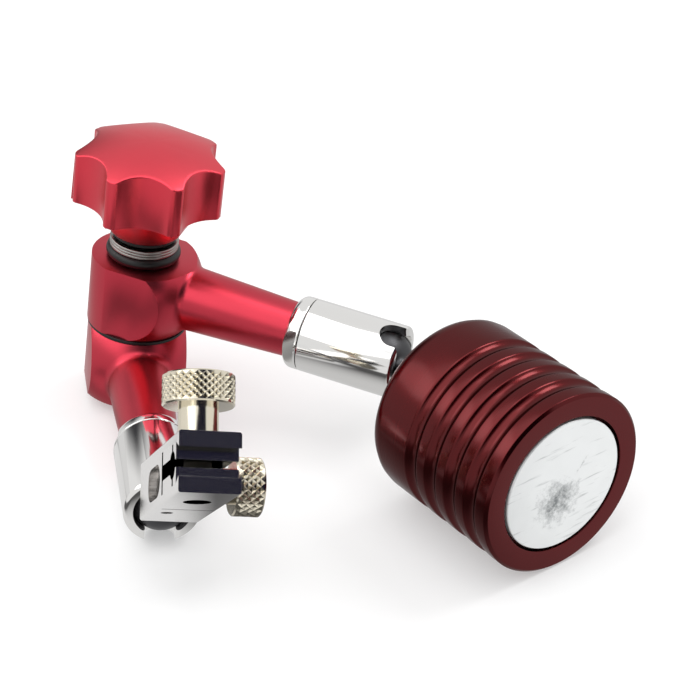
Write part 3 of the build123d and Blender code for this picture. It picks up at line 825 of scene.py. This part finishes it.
class STAND_OT_knob(Operator):
    """Models the seven-lobed locking knob with its domed top and conical hub"""

    bl_idname = "stand.knob"
    bl_label = "Star knob"

    def execute(self, context):
        sizes = context.scene.stand.knob
        low = measure("star_knob", ELBOW)[0]
        reach = max(Vector((v.co - ELBOW.translation)).cross(KNOB_AXIS).length
                    for v in frame["nodes"]["star_knob"].data.vertices)
        under = low.z + sizes.hub_height
        rim = under + sizes.height
        top = rim + sizes.dome
        bend = (reach ** 2 + sizes.dome ** 2) / (2 * sizes.dome)
        bm = bmesh.new()
        outline = star_outline(sizes, reach)
        lower = [bm.verts.new((x, y, under)) for x, y in outline]
        loop = [bm.edges.new(pair) for pair in zip(lower, lower[1:] + lower[:1])]

        def dome(x, y):
            return top - bend + math.sqrt(bend ** 2 - x * x - y * y)

        def grow(edges, shape):
            grown = bmesh.ops.extrude_edge_only(bm, edges=edges)["geom"]
            for vert in only(bmesh.types.BMVert, grown):
                vert.co = shape(vert.co)
            return only(bmesh.types.BMEdge, grown)

        def shrink_to(factor):
            return lambda co: Vector((co.x * factor, co.y * factor, dome(co.x * factor, co.y * factor)))

        def towards(radius, height, share):
            def slide(co):
                flat = Vector((co.x, co.y, 0))
                goal = flat.normalized() * radius
                goal.z = height
                return co.lerp(goal, share)
            return slide

        ring = grow(loop, shrink_to(1))
        for before, after in ((1, 0.93), (0.93, 0.8), (0.8, 0.6), (0.6, 0.4), (0.4, 0.2), (0.2, 0.07)):
            ring = grow(ring, shrink_to(after / before))
        bmesh.ops.contextual_create(bm, geom=ring)
        ring = loop
        for share in (0.25, 0.5, 1):
            ring = grow(ring, towards(sizes.hub_top_radius, under, share))
        ring = grow(ring, towards(sizes.hub_radius, low.z + 0.3 * MM, 1))
        ring = grow(ring, towards(sizes.hub_radius - 0.3 * MM, low.z, 1))
        ring = grow(ring, towards(sizes.bore_radius, low.z, 1))
        ring = grow(ring, lambda co: co + Vector((0, 0, rim - 3 * MM - low.z)))
        bmesh.ops.contextual_create(bm, geom=ring)
        weld(bm)
        corners = [e for e in bent(bm, 20) if abs(e.verts[0].co.z - e.verts[1].co.z) > 3 * MM
                   and e.verts[0].co.xy.length > sizes.valley_radius]
        bevel(bm, corners, sizes.tip_round, 4)

        def rims(start, end):
            """Sharp edges between two heights, outside the hub."""
            return [e for e in bent(bm, 35) if start < min(v.co.z for v in e.verts)
                    and max(v.co.z for v in e.verts) < end
                    and min(v.co.xy.length for v in e.verts) > sizes.valley_radius - 0.2 * MM]

        bevel(bm, rims(rim - 1 * MM, top), sizes.top_edge, 3)
        bevel(bm, rims(under - 0.1 * MM, under + 0.1 * MM), sizes.under_edge, 4)
        tint = context.scene.stand.finish.knob_red
        metal = anodised("anodised_aluminium_etched_bright_red", tint, ELBOW, 0.32, 1, 0.36, 0.14 * MM)
        place(bm, "knob_star", ELBOW, metal, "knob", ["star_knob"], sharp=30)
        return {"FINISHED"}


class STAND_OT_elbow(Operator):
    """Turns the washers and the rubber ring of the elbow"""

    bl_idname = "stand.elbow"
    bl_label = "Elbow washers"

    def execute(self, context):
        sizes = context.scene.stand.elbow
        finish = context.scene.stand.finish
        steel = turned_metal("steel_turned_washers", finish.plain_steel, ELBOW, 0.28, 0.08 * MM, 0.3)
        rubber = moulded("rubber_moulded", finish.rubber, ELBOW, 0.42)
        nylon = moulded("nylon_stamped", finish.rubber, ELBOW, 0.5)
        low, high = measure("spring_washers", ELBOW)
        for i in range(sizes.spring_count):
            start = low.z + i * (sizes.spring_thickness + sizes.spring_gap)
            end = start + sizes.spring_thickness
            shape = flat_ring(sizes.spring_bore, high.x, start, end, 0.08 * MM, 0.16 * MM)
            nodes = ["spring_washers"] if i == 0 else []
            place(shape, f"spring_washer_{i + 1}", ELBOW, steel, "thrust", nodes, sharp=25)
        low, high = measure("o_ring", ELBOW)
        section = (high.z - low.z) / 2
        ring = arc((high.x - section, low.z + section), section, 0, 345, 23)
        place(turned(ring, closed=True), "rubber_ring", ELBOW, rubber, "upper_arm", ["o_ring"])
        edge = sizes.nylon_edge
        for node, piece, body in (
            ("elbow_washer", "elbow_spacer", "upper_arm"), ("knob_washer", "knob_slip_ring", "knob"),
        ):
            low, high = measure(node, ELBOW)
            shape = flat_ring(sizes.washer_bore, high.x, low.z, high.z, edge, edge)
            place(shape, piece, ELBOW, nylon, body, [node])
        return {"FINISHED"}


class STAND_OT_block(Operator):
    """Finishes the clamp block with softened edges"""

    bl_idname = "stand.block"
    bl_label = "Clamp block"

    def execute(self, context):
        sizes = context.scene.stand.clamp
        bm = bmesh.new()
        bm.from_mesh(frame["nodes"]["clamp_block"].data)
        bmesh.ops.remove_doubles(bm, verts=bm.verts, dist=NEAR)
        move(bm, CLAMP.inverted())
        bmesh.ops.dissolve_limit(bm, angle_limit=math.radians(1), verts=bm.verts, edges=bm.edges)
        bevel(bm, bent(bm, 30), sizes.block_edge, 2)
        tint = context.scene.stand.finish.ground_steel
        # faces under the outer ones and near the front are in the dovetail, the slit or a bore, and get painted
        # shade
        high = measure("clamp_block", CLAMP)[1]
        skin = sizes.block_edge * 1.5
        painted_shade = bm.faces.layers.float.new("painted_shade")
        for face in bm.faces:
            middle = face.calc_center_median()
            under = min(high.x - abs(middle.x), high.y - abs(middle.y), high.z - middle.z) > skin
            depth = high.z - middle.z
            floor = face.normal.z > 0.9 and abs(depth - sizes.dovetail_depth) < skin
            slit = abs(depth - sizes.slit_depth) < sizes.slit_margin
            if under and not floor and (depth < sizes.shade_reach or slit):
                face[painted_shade] = 1
        steel = ground_steel("steel_ground_nickel_plated", tint, CLAMP)
        place(bm, "clamp_block_body", CLAMP, steel, "clamp", ["clamp_block"], sharp=14)
        return {"FINISHED"}


def knurled_screw(sizes, radius, tip, seat, thread, shank, head_low, head_high):
    """A thumb screw in one turned shape, with crossing knurl ridges and a pit inside each diamond."""
    starts = round(math.tau * radius / sizes.knurl_pitch)
    rim = sizes.knurl_rim
    rows = 2 * round((head_high - head_low - 2 * rim) / sizes.knurl_pitch)
    first, last = head_low + rim, head_high - rim
    step = math.tau / (2 * starts)
    outline = rounded([(0, tip), (thread - 0.4 * MM, tip), (thread, tip + 0.4 * MM), (thread, seat)]
                      + [(shank, seat, 0.1 * MM), (shank, head_low), (radius - rim, head_low)])
    outline += [(radius, first + (last - first) * i / rows) for i in range(rows + 1)]
    outline += [(radius - rim, head_high), (0, head_high)]
    bm = turned(outline, steps=2 * starts)
    depth = bm.verts.layers.float.new("pit_depth")
    ridge = {}
    for vert in bm.verts:
        # the thread is marked 2, so that the material paints it dark as shade
        if vert.co.z < seat + NEAR and vert.co.xy.length < thread + NEAR:
            vert[depth] = 2
        row = round((vert.co.z - first) / (last - first) * rows)
        if abs(vert.co.xy.length - radius) < NEAR and 0 <= row <= rows:
            column = round(math.atan2(vert.co.y, vert.co.x) / step)
            ridge[vert] = (row + column) % 2 == 0
            if not ridge[vert] and 0 < row < rows:
                vert.co.xy *= 1 - sizes.knurl_depth / radius
                vert[depth] = 1
    for face in bm.faces[:]:
        crossing = [vert for vert in face.verts if ridge.get(vert)]
        if len(crossing) == 2 and all(vert in ridge for vert in face.verts):
            bmesh.utils.face_split(face, *crossing)
    bmesh.ops.recalc_face_normals(bm, faces=bm.faces)
    return bm


class STAND_OT_screws(Operator):
    """Models the two knurled thumb screws"""

    bl_idname = "stand.screws"
    bl_label = "Thumb screws"

    def execute(self, context):
        sizes = context.scene.stand.clamp
        tint = context.scene.stand.finish.nickel
        rows = (
            ("clamp_screw", CLAMP_SCREW, sizes.seat_gap, sizes.clamp_thread, sizes.clamp_shank, sizes.clamp_head),
            ("side_screw", SIDE_SCREW, sizes.side_gap, sizes.side_thread, sizes.side_shank, sizes.side_head),
        )
        for node, local, seat, thread, shank, head in rows:
            low, high = measure(node, local)
            shape = knurled_screw(sizes, high.x, low.z, seat, thread, shank, high.z - head, high.z)
            nickel = knurled_nickel("steel_knurled_nickel_plated_" + node, tint, local)
            place(shape, node + "_knurled", local, nickel, node, [node], sharp=20)
        return {"FINISHED"}


class STAND_OT_inner(Operator):
    """Gives the pieces inside the stand their turned steel and sintered magnet finishes"""

    bl_idname = "stand.inner"
    bl_label = "Inner pieces"

    def execute(self, context):
        finish = context.scene.stand.finish
        rows = [(side + piece, local) for side, local in (("upper", UPPER), ("lower", LOWER))
                for piece in ("_retainer", "_pressure_pad", "_push_rod")]
        rows += [(node, ELBOW) for node in ("elbow_spindle", "thrust_sleeve", "knob_insert")]
        for node, local in rows:
            steel = turned_metal("steel_turned_" + node, finish.plain_steel, local, 0.3, 0.1 * MM)
            assign(frame["nodes"][node], steel)
        assign(frame["nodes"]["magnet_core"], moulded("magnet_sintered", finish.dark_steel, BASE, 0.6))
        return {"FINISHED"}


def assign(item, material):
    item.data.materials.clear()
    item.data.materials.append(material)


# ---- stage
def heading(azimuth, elevation):
    """The direction at two angles in degrees."""
    a, e = math.radians(azimuth), math.radians(elevation)
    return Vector((math.cos(e) * math.cos(a), math.cos(e) * math.sin(a), math.sin(e)))


def standing_off(direction, distance):
    """A place that far from the stand, turned to face it."""
    middle = (Vector(CAD_BOX[0]) + Vector(CAD_BOX[1])) / 2
    turn = direction.to_track_quat("Z", "Y").to_matrix().to_4x4()
    return Matrix.Translation(middle + direction * distance) @ turn


def softbox(name, direction, size, power):
    """A square area lamp that faces the stand."""
    lamp = bpy.data.lights.new(name, "AREA")
    lamp.shape = "RECTANGLE"
    lamp.size, lamp.size_y = size
    lamp.energy = power
    show(name, lamp).matrix_world = standing_off(direction, LAMP_DISTANCE)


def sheet(name, matrix, material):
    """A flat square of the stage, one metre wide before the matrix."""
    bm = bmesh.new()
    bm.loops.layers.uv.new("UVMap")
    bmesh.ops.create_grid(bm, x_segments=1, y_segments=1, size=0.5, calc_uvs=True)
    move(bm, matrix)
    mesh = mesh_of(name, bm)
    mesh.materials.append(material)
    return show(name, mesh)


def cleared(data):
    """The empty tree of a new material or world."""
    data.use_nodes = True
    data.node_tree.nodes.clear()
    return data.node_tree


def ray(tree, *kinds):
    """1 for rays of any of these kinds, 0 for all others."""
    path = add(tree, "LightPath").outputs
    value = path[kinds[0]]
    for kind in kinds[1:]:
        value = calculate(tree, "MAXIMUM", value, path[kind])
    return value


def light(tree, strength, colour=(1, 1, 1)):
    return add(tree, "Emission", {"Color": opaque(colour), "Strength": strength}).outputs["Emission"]


def mixed(tree, share, first, second):
    """The first shader at 0 and the second at 1."""
    return add(tree, "MixShader", {0: share, 1: first, 2: second}).outputs["Shader"]


def card(name, direction, distance, size, tint, edge):
    """A card with its own dim glow that only mirrors see: a painted reflection. Its colour fades out near its rim,
    over a share of its width.
    """
    material = bpy.data.materials.new(name)
    tree = cleared(material)
    across = add(tree, "SeparateXYZ", {"Vector": add(tree, "TexCoord").outputs["UV"]}).outputs
    share = 1.0
    for axis in "XY":
        off = calculate(tree, "ABSOLUTE", calculate(tree, "SUBTRACT", across[axis], 0.5))
        share = calculate(tree, "MULTIPLY", share, remap(tree, off, 0.5 - edge, 0.5, 1, 0, smooth=True))
    clear = add(tree, "BsdfTransparent").outputs["BSDF"]
    add(tree, "OutputMaterial", {"Surface": mixed(tree, share, clear, light(tree, 1, linear(tint)))})
    spread = Matrix.Diagonal((size[0], size[1], 1, 1))
    item = sheet(name, standing_off(direction, distance) @ spread, material)
    item.visible_camera = False
    item.visible_diffuse = False
    item.visible_shadow = False


def paper():
    """White paper, matt to the lamps, which a plain level of lamps leaves white; mirrors see painted light on it
    instead.
    """
    material = bpy.data.materials.new("paper_white_painted_reflection")
    tree = cleared(material)
    # in mirrors the paper shows a painted reflection: bright behind the stand, a painted dark strip in front of it,
    # and brighter again beyond
    spot = add(tree, "TexCoord").outputs["Object"]
    across = add(tree, "SeparateXYZ", {"Vector": spot}).outputs["X"]
    ahead = add(tree, "VectorMath", {0: spot, 1: heading(-70, 0)}, operation="DOT_PRODUCT").outputs["Value"]
    behind = remap(tree, across, -30 * MM, 5 * MM, 0.62, 1)
    fade = remap(tree, ahead, -6 * MM, 34 * MM, behind, 0.02, smooth=True)
    beyond = remap(tree, ahead, 64 * MM, 88 * MM, 0, 0.8, smooth=True)
    left = remap(tree, across, -78 * MM, -90 * MM, 0, 0.7, smooth=True)
    # a painted pool of light on the paper under the clamp block, seen only in mirrors
    pool = add(tree, "Mapping", {"Vector": spot, "Location": (36 * MM, 50 * MM, 0), "Scale": (0.6, 1, 0)})
    under = remap(tree, vector_size(tree, pool.outputs["Vector"]), 13 * MM, 20 * MM, 0.75, 0, smooth=True)
    level = fade
    for patch in (beyond, left, under):
        level = calculate(tree, "MAXIMUM", level, patch)
    matt = add(tree, "BsdfDiffuse", {"Color": opaque((0.93, 0.93, 0.93))}).outputs["BSDF"]
    direct = calculate(tree, "MULTIPLY", ray(tree, "Is Camera Ray"), 0.35)
    seen = mixed(tree, direct, matt, light(tree, 1))
    # mirrors see this painted level of light in place of the lit paper
    share = calculate(tree, "MULTIPLY", ray(tree, "Is Glossy Ray", "Is Transmission Ray"), 0.93)
    add(tree, "OutputMaterial", {"Surface": mixed(tree, share, seen, light(tree, level))})
    return material


def white_tent():
    """A surround that is pure white to the camera, and a little less to the light it throws on the stand."""
    world = bpy.data.worlds.new("white_tent")
    tree = cleared(world)
    fill, white = (
        add(tree, "Background", {"Color": (1, 1, 1, 1), "Strength": strength}).outputs["Background"]
        for strength in (0.78, 1)
    )
    mirrored = calculate(tree, "MULTIPLY", ray(tree, "Is Glossy Ray"), 0.3)
    shown = calculate(tree, "MAXIMUM", mirrored, ray(tree, "Is Camera Ray", "Is Transmission Ray"))
    add(tree, "OutputWorld", {"Surface": mixed(tree, shown, fill, white)})
    return world


class STAND_OT_stage(Operator):
    """Sets the floor, the lamps, the white surround and the camera"""

    bl_idname = "stand.stage"
    bl_label = "Stage"

    def execute(self, context):
        scene = context.scene
        sizes = scene.stand.stage
        scene.view_settings.view_transform = "Standard"
        level = Matrix.Translation((0, 0, CAD_BOX[0][2])) @ Matrix.Diagonal((FLOOR_WIDTH, FLOOR_WIDTH, 1, 1))
        floor = sheet("floor", level, paper())
        scene.world = white_tent()
        softbox("lamp_top", heading(-100, 60), (0.7, 0.6), 1.45)
        softbox("lamp_zenith", heading(90, 84), (0.2, 0.2), 0.2)
        softbox("lamp_back", heading(78, 52), (0.22, 0.18), 0.7)
        softbox("lamp_left", heading(-144, 34), (0.24, 0.2), 0.2)
        # painted reflections: a navy card for the dark that the block's front and the chrome mirror, and a soft grey
        # one to the left
        card("card_behind_camera", heading(-12, 36), 0.6, (0.7, 0.8), "#161528", 0.1)
        card("card_left_grey", heading(174, 14), 0.5, (0.42, 0.4), "#3e3e40", 0.4)
        back = heading(math.degrees(sizes.azimuth), math.degrees(sizes.elevation))
        right = Matrix.Rotation(sizes.roll, 3, back) @ Vector((0, 0, 1)).cross(back).normalized()
        view = Matrix((right, back.cross(right), back)).transposed().to_4x4()
        view.translation = Vector(sizes.aim) + back * sizes.distance
        camera = show("camera", bpy.data.cameras.new("camera"))
        camera.data.lens = sizes.lens
        camera.data.sensor_width = 36
        camera.data.clip_start = 0.01
        camera.matrix_world = view
        scene.camera = camera
        return {"FINISHED"}


class STAND_PT_panel(Panel):
    """Lists the steps that build the stand's pieces"""

    bl_idname = "STAND_PT_panel"
    bl_label = "Indicator stand"
    bl_space_type = "VIEW_3D"
    bl_region_type = "UI"
    bl_category = "Stand"

    def draw(self, context):
        for step in STEPS:
            self.layout.operator(step.bl_idname)


STEPS = (
    STAND_OT_base, STAND_OT_studs, STAND_OT_sockets, STAND_OT_arms, STAND_OT_knob, STAND_OT_elbow, STAND_OT_block,
    STAND_OT_screws, STAND_OT_inner, STAND_OT_stage,
)
GROUPS = (
    BaseSizes, StudSizes, SocketSizes, ArmSizes, KnobSizes, ElbowSizes, ClampSizes, Finishes, StageSizes,
    StandSettings,
)


def register():
    for item in GROUPS + STEPS + (STAND_PT_panel,):
        bpy.utils.register_class(item)
    bpy.types.Scene.stand = PointerProperty(type=StandSettings)


def unregister():
    del bpy.types.Scene.stand
    for item in reversed(GROUPS + STEPS + (STAND_PT_panel,)):
        bpy.utils.unregister_class(item)


def main():
    register()
    for step in STEPS:
        group, name = step.bl_idname.split(".")
        getattr(getattr(bpy.ops, group), name)()


if __name__ == "__main__":
    main()
